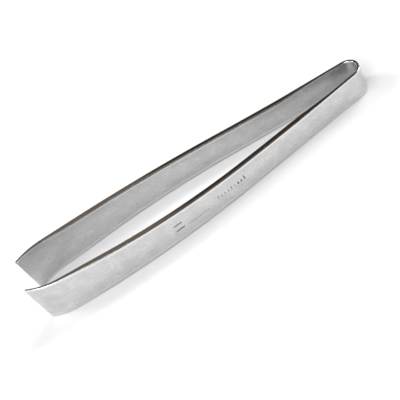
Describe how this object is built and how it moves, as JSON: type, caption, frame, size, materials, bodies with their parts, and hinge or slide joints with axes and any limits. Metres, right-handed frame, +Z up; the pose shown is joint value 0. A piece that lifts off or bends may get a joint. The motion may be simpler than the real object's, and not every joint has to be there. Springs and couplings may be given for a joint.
{
  "type": "stamp tongs",
  "caption": "Sprung tongs bent from a strip of satin stainless steel, with bowed arms that widen to thin, inward-curled jaws for lifting stamps and other flat pieces.",
  "frame": {"origin": "on the resting plane, under the middle of the length and of the width", "axes": "+X from the bow to the jaws, +Y towards the left arm, +Z up the width of the strip"},
  "size_m": [0.1226, 0.023, 0.0155],
  "materials": {
    "satin_steel": "satin, brushed along the strip",
    "ground_steel": "fine ground, brushed along the strip"
  },
  "bodies": {
    "bow": {"spring_bow": "satin_steel"},
    "left_spring": {"left_leaf": "satin_steel"},
    "left_side": {"left_arm": "satin_steel", "left_jaw": "ground_steel"},
    "right_spring": {"right_leaf": "satin_steel"},
    "right_side": {"right_arm": "satin_steel", "right_jaw": "ground_steel"}
  },
  "joints": [
    {"name": "left_bow_flex", "type": "hinge", "parent": "bow", "child": "left_spring", "pos_m": [-0.05604, 0.00385, 0], "axis": [0, 0, -1], "range_deg": [0, 1.23], "stiffness_Nm_per_rad": 24},
    {"name": "left_leaf_flex", "type": "hinge", "parent": "left_spring", "child": "left_side", "pos_m": [-0.0456, 0.00498, 0], "axis": [0, 0, -1], "range_deg": [0, 1.85], "stiffness_Nm_per_rad": 13},
    {"name": "right_bow_flex", "type": "hinge", "parent": "bow", "child": "right_spring", "pos_m": [-0.05604, -0.00385, 0], "axis": [0, 0, 1], "range_deg": [0, 1.23], "stiffness_Nm_per_rad": 24},
    {"name": "right_leaf_flex", "type": "hinge", "parent": "right_spring", "child": "right_side", "pos_m": [-0.0456, -0.00498, 0], "axis": [0, 0, 1], "range_deg": [0, 1.85], "stiffness_Nm_per_rad": 13}
  ],
  "couplings": [
    {"joint": "left_leaf_flex", "follows": "left_bow_flex", "ratio": 1.5},
    {"joint": "right_bow_flex", "follows": "left_bow_flex", "ratio": 1},
    {"joint": "right_leaf_flex", "follows": "left_bow_flex", "ratio": 1.5}
  ]
}
